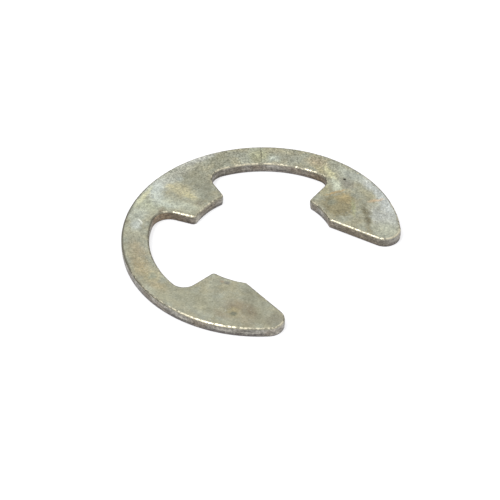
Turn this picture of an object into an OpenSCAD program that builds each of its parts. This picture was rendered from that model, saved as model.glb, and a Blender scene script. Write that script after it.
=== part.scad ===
// Retaining ring of the E type, blanked from flat spring steel.
// It is pushed onto a grooved shaft from the side: two jaw pads and a back prong seat on the groove's floor,
// and the two pockets between them let the jaws spring apart.
// The ring lies flat on its torn face, Z = 0, with the shaft's axis on Z and the mouth towards +X.

/* [Plate] */
// Diameter of the outer edge
outer_d = 33.1; // [30:0.1:36]
// Thickness of the plate
thickness = 1.27; // [1:0.01:1.6]

/* [Seat] */
// Diameter of the circle on which the jaw pads and the back prong end
seat_d = 17; // [16:0.1:18]
// Angle from the middle of the mouth to the inner corner of each jaw pad
jaw_angle = 89.5; // [84:0.1:94]
// Width of the back prong where it meets the seat
prong_w = 5.2; // [4:0.1:6.5]

/* [Mouth] */
// Width of the mouth between the outer corners of the jaw pads
mouth_w = 14.8; // [13.8:0.1:15.2]
// Angle at which each edge of the mouth opens outwards
mouth_flare = 10.2; // [4:0.1:14]

/* [Pockets] */
// Diameter of the circle that the pockets reach out to
pocket_d = 26.5; // [24:0.1:28]
// Lean of the jaw's side of a pocket, from the radius towards the back
jaw_lean = 7; // [0:0.1:12]
// Angle between the middle line of the ring and each side of the back prong
prong_taper = 20; // [14:0.1:26]

/* [Corner radii] */
// Radius of the jaw tips
tip_r = 1.9; // [1:0.05:2.4]
// Radius of the jaw pads' corners at the mouth
mouth_corner_r = 0.35; // [0.3:0.05:0.8]
// Radius of the jaw pads' corners at the pockets
jaw_corner_r = 0.45; // [0.3:0.05:0.8]
// Radius of the back prong's corners
prong_corner_r = 0.6; // [0.3:0.05:0.9]
// Radius of a pocket's root beside the jaw
jaw_root_r = 1.65; // [0.8:0.05:2.2]
// Radius of a pocket's root beside the back prong
prong_root_r = 1.95; // [0.8:0.05:2.4]

/* [Sheared edge] */
// How far the rolled upper edge reaches in over the plate
roll_w = 0.22; // [0.1:0.01:0.28]
// How far the rolled upper edge reaches down the wall
roll_h = 0.2; // [0.1:0.01:0.3]
// Height at which the smooth sheared band of the wall gives way to the torn band
tear_h = 0.5; // [0.3:0.01:0.6]
// How far the foot of the torn band falls back
tear_w = 0.05; // [0.02:0.01:0.1]
// Size of the tumbled break on the lower edge
break_w = 0.05; // [0.02:0.01:0.1]

/* [Hidden] */
$fn = 180;

// Steps in which the rolled edge turns from the wall to the face
roll_steps = 4;
// How far a cutting shape runs past what it cuts
clear = 2;
// Share by which a rounding's ends lean towards its corner, so that it crosses the edges instead of
// only touching them. The step that this leaves is under a thousandth of a millimetre.
end_lean = 0.03;

outer_r = outer_d / 2;
seat_r = seat_d / 2;
pocket_r = pocket_d / 2;
mouth_angle = asin(mouth_w / seat_d);
prong_angle = 180 - asin(prong_w / seat_d);

// Directions in the plan: along an angle, and a quarter turn to its left
function along(a) = [cos(a), sin(a)];
function left_of(a) = [-sin(a), cos(a)];

// Straight edges of the half above the X axis, each [a point on the seat, the outward direction,
// 1 where the metal lies to the left of that direction or -1 where it lies to the right]
mouth_edge = [seat_r * along(mouth_angle), mouth_flare, 1];
jaw_edge = [seat_r * along(jaw_angle), jaw_angle + jaw_lean, -1];
prong_edge = [seat_r * along(prong_angle), 180 - prong_taper, 1];

// Point at a signed distance to the left of a straight edge and at a given reach from the origin
function beside(edge, left, reach) =
    let (start = edge[0] + left * left_of(edge[1]),
         run = start * along(edge[1]))
    start + along(edge[1]) * (sqrt(run * run - start * start + reach * reach) - run);

// A corner where a straight edge meets a circle about the origin, rounded with radius r:
// [centre of the rounding, its touching point on the edge, the sharp corner, its touching point on the circle].
// into is 1 where the rounding lies in the metal or -1 where it lies in the open, and
// beyond is 1 where it lies outside the circle or -1 where it lies inside.
function corner(edge, circle_r, r, into, beyond) =
    let (left = edge[2] * into * r,
         centre = beside(edge, left, circle_r + beyond * r))
    [centre,
     centre - left * left_of(edge[1]),
     beside(edge, 0, circle_r),
     centre * circle_r / norm(centre)];

// Profile of the sheared edge from the lower face up, as [how far the metal stays back, height]
edge_profile = concat(
    [[tear_w + break_w, 0], [tear_w, break_w], [0, tear_h]],
    [for (i = [0 : roll_steps])
        let (turn = 90 * i / roll_steps)
        [roll_w * (1 - cos(turn)), thickness - roll_h * (1 - sin(turn))]]);

// The same profile run on past both faces, for a cutting shape
cut_profile = concat(
    [[tear_w + break_w, -clear]],
    edge_profile,
    [[roll_w, thickness + clear]]);

// A round piece of the plate, with the sheared edge round it
module round_plate(r) {
    rotate_extrude()
        polygon(concat([[0, 0]], [for (p = edge_profile) [r - p[0], p[1]]], [[0, thickness]]));
}

// The space that a round punch leaves
module round_cut(r) {
    rotate_extrude()
        polygon(concat([[0, -clear]], [for (p = cut_profile) [r + p[0], p[1]]], [[0, thickness + clear]]));
}

// The space that a straight punch edge leaves on the open side of an edge
module straight_cut(edge) {
    translate(edge[0])
        rotate([90, 0, edge[1] + 90 * edge[2]])
            linear_extrude(height = 2 * outer_d, center = true)
                polygon(concat(
                    [[-outer_d, -clear]],
                    cut_profile,
                    [[-outer_d, thickness + clear]]));
}

// The part of a corner between the centre of its rounding and its two touching points, run on past the corner
module corner_block(c, r) {
    grow = (r + clear) / r;
    rim = [c[1] + end_lean * (c[2] - c[1]), c[2], c[3] + end_lean * (c[2] - c[3])];
    translate([0, 0, -clear])
        linear_extrude(height = thickness + 2 * clear)
            polygon([c[0], for (p = rim) c[0] + grow * (p - c[0])]);
}

// What is cut away to round an outward corner of the metal
module outward_corner(c, r) {
    difference() {
        corner_block(c, r);
        translate(c[0]) round_plate(r);
    }
}

// What stays of the metal in the rounded root of a pocket
module root_fill(c, r) {
    difference() {
        corner_block(c, r);
        translate(c[0]) round_cut(r);
    }
}

module mouth() {
    intersection() {
        straight_cut(mouth_edge);
        mirror([0, 1, 0]) straight_cut(mouth_edge);
        translate([0, -outer_r, -clear]) cube([outer_d, outer_d, thickness + 2 * clear]);
    }
}

module pocket() {
    difference() {
        intersection() {
            round_cut(pocket_r);
            straight_cut(jaw_edge);
            straight_cut(prong_edge);
        }
        root_fill(corner(jaw_edge, pocket_r, jaw_root_r, -1, -1), jaw_root_r);
        root_fill(corner(prong_edge, pocket_r, prong_root_r, -1, -1), prong_root_r);
    }
}

// Roundings of one jaw and of the back prong's side next to it
module rounded_corners() {
    outward_corner(corner(mouth_edge, outer_r, tip_r, 1, -1), tip_r);
    outward_corner(corner(mouth_edge, seat_r, mouth_corner_r, 1, 1), mouth_corner_r);
    outward_corner(corner(jaw_edge, seat_r, jaw_corner_r, 1, 1), jaw_corner_r);
    outward_corner(corner(prong_edge, seat_r, prong_corner_r, 1, 1), prong_corner_r);
}

module e_clip() {
    color([0.67, 0.66, 0.59])
        difference() {
            round_plate(outer_r);
            round_cut(seat_r);
            mouth();
            for (side = [0, 1])
                mirror([0, side, 0]) {
                    pocket();
                    rounded_corners();
                }
        }
}

e_clip();
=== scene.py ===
"""Dressed model of a stamped retaining ring of the E type.

The ring's plate is swept again with the whole form of its sheared edge: a rolled upper edge, a burnished
Its finish is the worn, stained zinc plating of a used ring, with some painted highlight, shade and sheen.
"""
import logging
from collections.abc import Callable
from dataclasses import dataclass, field
from enum import Enum
from math import asin, ceil, cos, degrees, hypot, pi, radians, sin, sqrt

import bmesh
import bpy
from mathutils import Matrix, Vector


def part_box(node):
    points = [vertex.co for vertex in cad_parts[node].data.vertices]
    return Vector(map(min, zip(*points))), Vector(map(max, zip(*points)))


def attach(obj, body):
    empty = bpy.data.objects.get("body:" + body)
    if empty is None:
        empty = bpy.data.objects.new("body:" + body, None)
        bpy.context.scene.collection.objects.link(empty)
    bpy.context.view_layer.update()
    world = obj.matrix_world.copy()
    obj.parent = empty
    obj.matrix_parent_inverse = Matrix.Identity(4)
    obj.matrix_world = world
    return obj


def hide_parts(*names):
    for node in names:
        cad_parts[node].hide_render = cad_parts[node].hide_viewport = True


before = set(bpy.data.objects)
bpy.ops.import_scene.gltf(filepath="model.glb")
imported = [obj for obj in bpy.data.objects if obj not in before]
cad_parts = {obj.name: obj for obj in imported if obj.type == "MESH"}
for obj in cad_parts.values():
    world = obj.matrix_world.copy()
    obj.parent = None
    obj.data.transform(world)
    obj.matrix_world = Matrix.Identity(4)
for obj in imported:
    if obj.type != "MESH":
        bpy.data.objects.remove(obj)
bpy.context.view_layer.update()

MM = 0.001
# Value of a pattern at which a vertex stays: at 1 the pattern only pushes inwards, at 0.5 both ways
INWARDS_ONLY = 1.0
BOTH_WAYS = 0.5
# How far a vertex may be from a height or a place and still count as on it, in millimetres
SLACK = 1e-3

WHITE = (1, 1, 1, 1)

# A colour as it is seen: red, green and blue from 0 to 255
Tint = tuple[float, float, float]
# A direction, or a scale on each axis
Axes = tuple[float, float, float]
Socket = bpy.types.NodeSocket
# What can feed a node's input
Feed = Socket | Vector | tuple | float

log = logging.getLogger("retaining_ring")


class Finish(Enum):
    """Names of the material slots that the pieces take their finish from."""

    PLATED_STEEL = "plated_steel"


class Band(Enum):
    """Bands of the plate's edge, by the way the stamping leaves them."""

    ROLL = "roll"
    TEAR_LINE = "tear_line"
    TORN = "torn"


def along(angle: float) -> Vector:
    """Return the unit vector of the plan at an angle in degrees."""
    return Vector((cos(radians(angle)), sin(radians(angle))))


def left_of(angle: float) -> Vector:
    """Return the unit vector of the plan a quarter turn to the left of an angle in degrees."""
    return Vector((-sin(radians(angle)), cos(radians(angle))))


def linear(colour: Tint) -> tuple[float, float, float, float]:
    """Turn a colour of 0 to 255, as it is seen, into the linear colour of a shader.

    Args:
        colour: Red, green and blue as seen on a screen.

    Returns:
        Red, green, blue and a full alpha, in linear light.
    """
    shares = [part / 255 for part in colour]
    lit = [s / 12.92 if s <= 0.04045 else ((s + 0.055) / 1.055) ** 2.4 for s in shares]
    return (lit[0], lit[1], lit[2], 1.0)


@dataclass(frozen=True)
class Edge:
    """A straight edge of the ring's plan, which starts on the seat circle.

    Attributes:
        start: Point on the seat circle, in millimetres.
        heading: Outward direction, in degrees.
        side: 1 where the metal lies to the left of the heading, -1 where it lies to the right.
    """

    start: Vector
    heading: float
    side: int

    def beside(self, left: float, reach: float) -> Vector:
        """Find the point at a distance to the left of the edge and at a reach from the origin.

        Args:
            left: Signed distance to the left of the edge.
            reach: Distance from the origin.

        Returns:
            The point in the plan.
        """
        start = self.start + left * left_of(self.heading)
        run = start.dot(along(self.heading))
        return start + along(self.heading) * (sqrt(run * run - start.dot(start) + reach * reach) - run)


@dataclass(frozen=True)
class Rounding:
    """A rounded corner between a straight edge and a circle about the origin.

    Attributes:
        centre: Centre of the rounding.
        on_edge: Where it touches the straight edge.
        on_circle: Where it touches the circle.
    """

    centre: Vector
    on_edge: Vector
    on_circle: Vector

    @classmethod
    def between(cls, edge: Edge, circle_r: float, radius: float, into: int, beyond: int) -> "Rounding":
        """Place a rounding.

        Args:
            edge: The straight edge.
            circle_r: Radius of the circle.
            radius: Radius of the rounding.
            into: 1 where the rounding lies in the metal, -1 where it lies in the open.
            beyond: 1 where it lies outside the circle, -1 where it lies inside.

        Returns:
            The rounding.
        """
        left = edge.side * into * radius
        centre = edge.beside(left, circle_r + beyond * radius)
        return cls(centre, centre - left * left_of(edge.heading), centre.normalized() * circle_r)


@dataclass(frozen=True)
class Stretch:
    """One stretch of the outline: an arc where it has a centre, and otherwise a straight line.

    Attributes:
        end: Where the stretch ends.
        centre: Centre of the arc, or None.
    """

    end: Vector
    centre: Vector | None = None


@dataclass
class RingOutline:
    """Plan of the ring on one side of its middle line, in millimetres and degrees.

    Attributes:
        outer_r: Radius of the outer edge.
        seat_r: Radius of the circle on which the jaw pads and the back prong end.
        jaw_angle: Angle from the middle of the mouth to the inner corner of a jaw pad.
        prong_w: Width of the back prong where it meets the seat.
        mouth_w: Width of the mouth between the outer corners of the jaw pads.
        mouth_flare: Angle at which an edge of the mouth opens outwards.
        pocket_r: Radius of the circle that a pocket reaches out to.
        jaw_lean: Lean of the jaw's side of a pocket, from the radius towards the back.
        prong_taper: Angle between the middle line and a side of the back prong.
        tip_r: Radius of a jaw tip.
        mouth_corner_r: Radius of a jaw pad's corner at the mouth.
        jaw_corner_r: Radius of a jaw pad's corner at the pocket.
        prong_corner_r: Radius of a corner of the back prong.
        jaw_root_r: Radius of a pocket's root beside the jaw.
        prong_root_r: Radius of a pocket's root beside the back prong.
    """

    outer_r: float
    seat_r: float = 8.5
    jaw_angle: float = 89.5
    prong_w: float = 5.2
    mouth_w: float = 14.8
    mouth_flare: float = 10.2
    pocket_r: float = 13.25
    jaw_lean: float = 7.0
    prong_taper: float = 20.0
    tip_r: float = 1.9
    mouth_corner_r: float = 0.35
    jaw_corner_r: float = 0.45
    prong_corner_r: float = 0.6
    jaw_root_r: float = 1.65
    prong_root_r: float = 1.95

    def start(self) -> Vector:
        """Return the middle of the back prong's end."""
        return Vector((-self.seat_r, 0))

    def stretches(self) -> list[Stretch]:
        """List the stretches from the middle of the back prong round the open side to the middle of the back.

        Returns:
            The stretches, each of which starts where the one before it ends.
        """
        mouth_angle = degrees(asin(self.mouth_w / 2 / self.seat_r))
        prong_angle = 180 - degrees(asin(self.prong_w / 2 / self.seat_r))
        mouth = Edge(self.seat_r * along(mouth_angle), self.mouth_flare, 1)
        jaw = Edge(self.seat_r * along(self.jaw_angle), self.jaw_angle + self.jaw_lean, -1)
        prong = Edge(self.seat_r * along(prong_angle), 180 - self.prong_taper, 1)
        prong_corner = Rounding.between(prong, self.seat_r, self.prong_corner_r, 1, 1)
        prong_root = Rounding.between(prong, self.pocket_r, self.prong_root_r, -1, -1)
        jaw_root = Rounding.between(jaw, self.pocket_r, self.jaw_root_r, -1, -1)
        jaw_corner = Rounding.between(jaw, self.seat_r, self.jaw_corner_r, 1, 1)
        mouth_corner = Rounding.between(mouth, self.seat_r, self.mouth_corner_r, 1, 1)
        tip = Rounding.between(mouth, self.outer_r, self.tip_r, 1, -1)
        axis = Vector((0, 0))
        return [
            Stretch(prong_corner.on_circle, axis),
            Stretch(prong_corner.on_edge, prong_corner.centre),
            Stretch(prong_root.on_edge),
            Stretch(prong_root.on_circle, prong_root.centre),
            Stretch(jaw_root.on_circle, axis),
            Stretch(jaw_root.on_edge, jaw_root.centre),
            Stretch(jaw_corner.on_edge),
            Stretch(jaw_corner.on_circle, jaw_corner.centre),
            Stretch(mouth_corner.on_circle, axis),
            Stretch(mouth_corner.on_edge, mouth_corner.centre),
            Stretch(tip.on_edge),
            Stretch(tip.on_circle, tip.centre),
            Stretch(Vector((-self.outer_r, 0)), axis),
        ]


@dataclass
class ShearedEdge:
    """Section of the plate's edge, in millimetres.

    Attributes:
        thickness: Thickness of the plate.
        roll_w: How far the rolled upper edge reaches in over the plate.
        roll_h: How far it reaches down the wall.
        tear_h: Height at which the burnished band gives way to the torn band.
        tear_w: How far the foot of the torn band falls back.
        break_w: Size of the tumbled break on the lower edge.
        collar: Strip of each flat face that is swept with the edge.
        roll_steps: Steps of the rolled edge.
        burnish_steps: Steps of the burnished band.
        tear_steps: Steps of the torn band.
        break_steps: Steps of the tumbled break.
    """

    thickness: float
    roll_w: float = 0.22
    roll_h: float = 0.2
    tear_h: float = 0.5
    tear_w: float = 0.05
    break_w: float = 0.05
    collar: float = 0.04
    roll_steps: int = 10
    burnish_steps: int = 6
    tear_steps: int = 7
    break_steps: int = 2

    def draw(self, foot: Vector) -> None:
        """Draw the section in the plane Y = 0 of the open mesh, with the metal towards -X.

        Args:
            foot: Point of the plan that the section's burnished band stands over.
        """
        roll_x = foot.x - self.roll_w
        roll_z = self.thickness - self.roll_h
        bpy.ops.mesh.primitive_circle_add(
            vertices=4 * self.roll_steps,
            radius=self.roll_w * MM,
            location=(roll_x * MM, 0, roll_z * MM),
            rotation=(pi / 2, 0, 0),
        )
        bpy.ops.transform.resize(value=(1, 1, self.roll_h / self.roll_w))
        pick(lambda place: place.x < roll_x - SLACK or place.z < roll_z - SLACK)
        bpy.ops.mesh.delete(type="VERT")
        pick(lambda place: place.x < roll_x + SLACK)
        extend(Vector((-self.collar, 0, 0)), 1)
        pick(lambda place: place.z < roll_z + SLACK)
        extend(Vector((0, 0, self.tear_h - roll_z)), self.burnish_steps)
        extend(Vector((-self.tear_w, 0, self.break_w - self.tear_h)), self.tear_steps)
        extend(Vector((-self.break_w, 0, -self.break_w)), self.break_steps)
        extend(Vector((-self.collar, 0, 0)), 1)


def pick(wanted: Callable[[Vector], bool]) -> None:
    """Select the vertices of the open mesh whose place passes a test, and nothing else.

    Args:
        wanted: The test, given a place in millimetres.
    """
    mesh = bmesh.from_edit_mesh(bpy.context.edit_object.data)
    bpy.ops.mesh.select_all(action="DESELECT")
    for vert in mesh.verts:
        vert.select = wanted(vert.co / MM)
    mesh.select_flush(True)
    bmesh.update_edit_mesh(bpy.context.edit_object.data)


def extend(move: Vector, steps: int) -> None:
    """Extrude what is selected in equal steps.

    Args:
        move: The whole move, in millimetres.
        steps: Into how many steps it is split.
    """
    step = move * (MM / steps)
    for _ in range(steps):
        bpy.ops.mesh.extrude_region_move(TRANSFORM_OT_translate={"value": tuple(step)})


@dataclass(frozen=True)
class Pit:
    """A small pit of the upper face.

    Attributes:
        centre: Its middle in the plan, in millimetres.
        radius: Half its length, in millimetres.
    """

    centre: tuple[float, float]
    radius: float


PITS = (
    Pit((0.8, 14.25), 0.15),
    Pit((1.25, 16.1), 0.13),
    Pit((8.6, 10.7), 0.11),
    Pit((4.2, 15.6), 0.11),
)


@dataclass
class RingPlate:
    """The whole ring: one plate blanked from flat spring steel.

    Attributes:
        name: Name of the piece.
        node: The CAD node that the piece stands for.
        column: Longest step of the sweep, in millimetres.
        arc_turn: Largest turn of one step on an arc, in degrees.
        seam: How close two vertices are merged, in millimetres.
        crease: Angle above which an edge of the mesh stays sharp, in degrees.
        tear_grain: Size of the tear line's waves, in millimetres as all that follows.
        tear_wander: Height over which the tear line wanders.
        tear_spread: Distance from the tear line at which the wander has died out.
        torn_grain: Size of the torn grain.
        torn_depth: How deep it goes.
        torn_fade: Distance from the tear line at which the torn grain is whole.
        torn_clear: Strip below the tear line without torn grain.
        foot_clear: Strip above the lower face without torn grain.
        nick_grain: Size of the nicks of the roll.
        nick_depth: How deep they go.
        nick_fade: Height over which the nicks fade in, round the foot of the roll.
        face_clear: Strip below the upper face without nicks.
        cloud_contrast: Contrast of the patterns that wear the edge.
        pit_form: Length, width and depth of a pit, as shares of its radius.
        pit_turn: How far each pit is turned from the one before it, in radians.
        thickness: Thickness of the plate.
        outline: Plan of the plate.
        section: Section of its edge.
    """

    name: str = "ring_plate"
    node: str = "e_clip"
    column: float = 0.13
    arc_turn: float = 9.0
    seam: float = 0.004
    crease: float = 40.0
    tear_grain: float = 0.7
    tear_wander: float = 0.14
    tear_spread: float = 0.16
    torn_grain: float = 0.22
    torn_depth: float = 0.05
    torn_fade: float = 0.1
    torn_clear: float = 0.02
    foot_clear: float = 0.04
    nick_grain: float = 0.4
    nick_depth: float = 0.018
    nick_fade: float = 0.2
    face_clear: float = 1e-4
    cloud_contrast: float = 1.6
    pit_form: tuple[float, float, float] = (1.0, 0.8, 0.6)
    pit_turn: float = 1.1
    thickness: float = field(init=False)
    outline: RingOutline = field(init=False)
    section: ShearedEdge = field(init=False)

    def __post_init__(self) -> None:
        """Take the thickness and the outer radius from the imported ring."""
        low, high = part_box(self.node)
        self.thickness = (high.z - low.z) / MM
        self.outline = RingOutline(outer_r=(high.y - low.y) / 2 / MM)
        self.section = ShearedEdge(thickness=self.thickness)

    def build(self) -> bpy.types.Object:
        """Model the plate.

        Returns:
            The finished piece, at the origin, with its place in its mesh.
        """
        bpy.ops.object.select_all(action="DESELECT")
        bpy.ops.mesh.primitive_plane_add(size=MM)
        plate = bpy.context.active_object
        plate.name = plate.data.name = self.name
        bpy.ops.object.mode_set(mode="EDIT")
        bpy.ops.mesh.delete(type="VERT")
        self.section.draw(self.outline.start())
        self._sweep()
        bpy.ops.object.mode_set(mode="OBJECT")
        self._mirror(plate)
        self._close_faces()
        self._wear(plate)
        self._pit(plate)
        bpy.ops.object.shade_smooth_by_angle(angle=radians(self.crease))
        return plate

    def _sweep(self) -> None:
        """Carry the section along one half of the outline, by a spin on each arc and by extrusion between."""
        bpy.ops.mesh.select_all(action="SELECT")
        place = self.outline.start()
        for stretch in self.outline.stretches():
            if stretch.centre is None:
                move = stretch.end - place
                extend(move.to_3d(), ceil(move.length / self.column))
            else:
                before = place - stretch.centre
                after = stretch.end - stretch.centre
                turn = before.angle_signed(after)
                by_length = ceil(abs(turn) * before.length / self.column)
                by_turn = ceil(degrees(abs(turn)) / self.arc_turn)
                bpy.ops.mesh.spin(
                    steps=max(by_length, by_turn),
                    angle=turn,
                    center=(stretch.centre * MM).to_3d(),
                    axis=(0, 0, 1),
                )
            place = stretch.end

    def _mirror(self, plate: bpy.types.Object) -> None:
        """Mirror the swept half over the middle line.

        Args:
            plate: The piece.
        """
        mirror = plate.modifiers.new("other_half", "MIRROR")
        mirror.use_axis = (False, True, False)
        mirror.use_clip = True
        mirror.merge_threshold = self.seam * MM
        bpy.ops.object.modifier_apply(modifier=mirror.name)

    def _close_faces(self) -> None:
        """Close the upper and the lower face of the plate and turn all faces outwards."""
        bpy.ops.object.mode_set(mode="EDIT")
        bpy.ops.mesh.select_mode(type="VERT")
        for height in (self.thickness, 0.0):
            mesh = bmesh.from_edit_mesh(bpy.context.edit_object.data)
            bpy.ops.mesh.select_all(action="DESELECT")
            for edge in mesh.edges:
                if edge.is_boundary and abs(edge.verts[0].co.z / MM - height) < SLACK:
                    edge.select = True
            bmesh.update_edit_mesh(bpy.context.edit_object.data)
            bpy.ops.mesh.edge_face_add()
        bpy.ops.mesh.select_all(action="SELECT")
        bpy.ops.mesh.remove_doubles(threshold=self.seam * MM)
        bpy.ops.mesh.normals_make_consistent(inside=False)
        bpy.ops.object.mode_set(mode="OBJECT")

    def _weigh(self, plate: bpy.types.Object, band: Band, share: Callable[[float], float]) -> None:
        """Make a vertex group of one band of the edge.

        Args:
            plate: The piece.
            band: The band, which names the group.
            share: Weight of a vertex, given its height in millimetres.
        """
        group = plate.vertex_groups.new(name=band.value)
        for vert in plate.data.vertices:
            weight = share(vert.co.z / MM)
            if weight > 0:
                group.add([vert.index], weight, "REPLACE")

    def _displace(self, band: Band, grain: float, depth: float, midlevel: float, direction: str) -> None:
        """Move the vertices of a band by a cloudy pattern.

        Args:
            band: The band.
            grain: Size of the pattern's clouds, in millimetres.
            depth: How far a vertex moves at most, in millimetres.
            midlevel: Value of the pattern that moves nothing.
            direction: Axis or normal that the vertices move along.
        """
        clouds = bpy.data.textures.new(f"{band.value}_clouds", "CLOUDS")
        clouds.noise_scale = grain * MM
        clouds.noise_depth = 2
        clouds.contrast = self.cloud_contrast
        plate = bpy.context.active_object
        wear = plate.modifiers.new(band.value, "DISPLACE")
        wear.texture = clouds
        wear.texture_coords = "LOCAL"
        wear.vertex_group = band.value
        wear.strength = depth * MM
        wear.mid_level = midlevel
        wear.direction = direction
        bpy.ops.object.modifier_apply(modifier=wear.name)

    def _wear(self, plate: bpy.types.Object) -> None:
        """Give the edge its wandering tear line, its torn grain and the small nicks of its roll.

        Args:
            plate: The piece.
        """
        tear_h = self.section.tear_h
        roll_z = self.thickness - self.section.roll_h

        def tear_line(height: float) -> float:
            """Return the weight of the tear line, which is whole at its own height."""
            return max(0.0, 1 - abs(height - tear_h) / self.tear_spread)

        def torn(height: float) -> float:
            """Return the weight of the torn band, which keeps clear of the foot and the tear line."""
            if height < self.foot_clear or height > tear_h - self.torn_clear:
                return 0.0
            return min(1.0, (tear_h - height) / self.torn_fade)

        def roll(height: float) -> float:
            """Return the weight of the roll, which keeps clear of the upper face."""
            if height > self.thickness - self.face_clear:
                return 0.0
            return max(0.0, min(1.0, (height - roll_z + self.nick_fade / 2) / self.nick_fade))

        self._weigh(plate, Band.TEAR_LINE, tear_line)
        self._weigh(plate, Band.TORN, torn)
        self._weigh(plate, Band.ROLL, roll)
        self._displace(Band.TORN, self.torn_grain, self.torn_depth, INWARDS_ONLY, "NORMAL")
        self._displace(Band.ROLL, self.nick_grain, self.nick_depth, INWARDS_ONLY, "NORMAL")
        self._displace(Band.TEAR_LINE, self.tear_grain, self.tear_wander, BOTH_WAYS, "Z")

    def _pit(self, plate: bpy.types.Object) -> None:
        """Sink the small pits into the upper face.

        Args:
            plate: The piece.
        """
        for number, pit in enumerate(PITS):
            x, y = pit.centre
            bpy.ops.object.select_all(action="DESELECT")
            bpy.ops.mesh.primitive_uv_sphere_add(
                segments=18,
                ring_count=10,
                radius=pit.radius * MM,
                location=(x * MM, y * MM, self.thickness * MM),
                scale=self.pit_form,
                rotation=(0.0, 0.0, number * self.pit_turn),
            )
            cutter = bpy.context.active_object
            bpy.context.view_layer.objects.active = plate
            dent = plate.modifiers.new("pit", "BOOLEAN")
            dent.operation = "DIFFERENCE"
            dent.solver = "EXACT"
            dent.object = cutter
            bpy.ops.object.modifier_apply(modifier=dent.name)
            bpy.data.objects.remove(cutter)
        plate.select_set(True)


@dataclass(frozen=True)
class Grain:
    """A cloudy pattern.

    Attributes:
        size: Size of its clouds, in millimetres.
        detail: How many finer patterns are added.
        roughness: How strong the finer patterns are.
    """

    size: float
    detail: float = 3.0
    roughness: float = 0.7


@dataclass(frozen=True)
class Step:
    """A smooth step from one value to another.

    Attributes:
        start: Where the step starts.
        end: Where it ends.
        low: Value before it.
        high: Value after it.
    """

    start: float
    end: float
    low: float = 0.0
    high: float = 1.0


@dataclass(frozen=True)
class Tone:
    """How a pattern darkens and lightens a colour.

    Attributes:
        gain: How much of the pattern shows.
        base: Tone where the pattern is 0.
    """

    gain: float
    base: float


class Sheet:
    """The node tree of a material or a world, laid out by short calls."""

    def __init__(self, owner: bpy.types.Material | bpy.types.World) -> None:
        """Start with an empty tree.

        Args:
            owner: The material or the world that the tree belongs to.
        """
        owner.use_nodes = True
        self.tree = owner.node_tree
        self.tree.nodes.clear()

    def node(self, kind: str, inputs: dict[int | str, Feed], **settings) -> bpy.types.Node:
        """Add a node.

        Args:
            kind: Type of the node, without its first words.
            inputs: What feeds each input, by the input's name or number.
            settings: The node's own settings.

        Returns:
            The node.
        """
        added = self.tree.nodes.new("ShaderNode" + kind)
        for key, value in settings.items():
            setattr(added, key, value)
        for key, value in inputs.items():
            socket = added.inputs[key]
            if isinstance(value, Socket):
                self.tree.links.new(value, socket)
            else:
                socket.default_value = value
        return added

    def math(self, operation: str, first: Feed, second: Feed = 0.0, third: Feed = 0.0) -> Socket:
        """Work out a value from up to three others and return the result."""
        return self.node("Math", {0: first, 1: second, 2: third}, operation=operation).outputs[0]

    def scaled(self, vector: Socket, share: Feed) -> Socket:
        """Multiply a vector or a colour by a share and return the result."""
        return self.node("VectorMath", {0: vector, "Scale": share}, operation="SCALE").outputs[0]

    def toned(self, colour: Socket, pattern: Socket, tone: Tone) -> Socket:
        """Darken and lighten a colour by a pattern and return the result."""
        return self.scaled(colour, self.math("MULTIPLY_ADD", pattern, tone.gain, tone.base))

    def distance_along(self, place: Socket, direction: Axes | Vector) -> Socket:
        """Return how far a place lies along a direction."""
        return self.node("VectorMath", {0: place, 1: direction}, operation="DOT_PRODUCT").outputs["Value"]

    def squeezed(self, place: Socket, scale: Axes) -> Socket:
        """Scale a coordinate, so that a pattern on it is drawn out where the scale is small."""
        return self.node("Mapping", {"Vector": place, "Scale": scale}).outputs[0]

    def clouds(self, place: Socket, grain: Grain) -> bpy.types.Node:
        """Add a cloudy pattern.

        Args:
            place: Coordinate in millimetres.
            grain: The pattern.

        Returns:
            The node, which gives the pattern as a value and as a colour.
        """
        inputs = {
            "Vector": place,
            "Scale": 1 / grain.size,
            "Detail": grain.detail,
            "Roughness": grain.roughness,
        }
        return self.node("TexNoise", inputs)

    def noise(self, place: Socket, grain: Grain) -> Socket:
        """Add a cloudy pattern and return its value."""
        return self.clouds(place, grain).outputs[0]

    def fade(self, value: Socket, step: Step) -> Socket:
        """Turn a value into a smooth step and return the result."""
        inputs = {
            "Value": value,
            "From Min": step.start,
            "From Max": step.end,
            "To Min": step.low,
            "To Max": step.high,
        }
        return self.node("MapRange", inputs, interpolation_type="SMOOTHSTEP").outputs[0]

    def mix(self, share: Feed, first: Feed, second: Feed) -> Socket:
        """Mix two colours.

        Args:
            share: Share of the second colour.
            first: The first colour.
            second: The second colour.

        Returns:
            The mixed colour.
        """
        inputs = {0: share, 6: first, 7: second}
        return self.node("Mix", inputs, data_type="RGBA", blend_type="MIX").outputs[2]

    def blend(self, share: Feed, first: Feed, second: Feed) -> Socket:
        """Mix two values, where the share is that of the second, and return the result."""
        return self.node("Mix", {0: share, 2: first, 3: second}).outputs[0]


# How far a fleck value of 1 carries a point out of a patch, as a share of the patch's radii
FLECK_REACH = 1.6
# Fleck value of a place where nothing breaks up a patch's edge
PLAIN_FLECK = 0.5
# Value round which a cloudy pattern lies
NOISE_MIDDLE = 0.5


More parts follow.
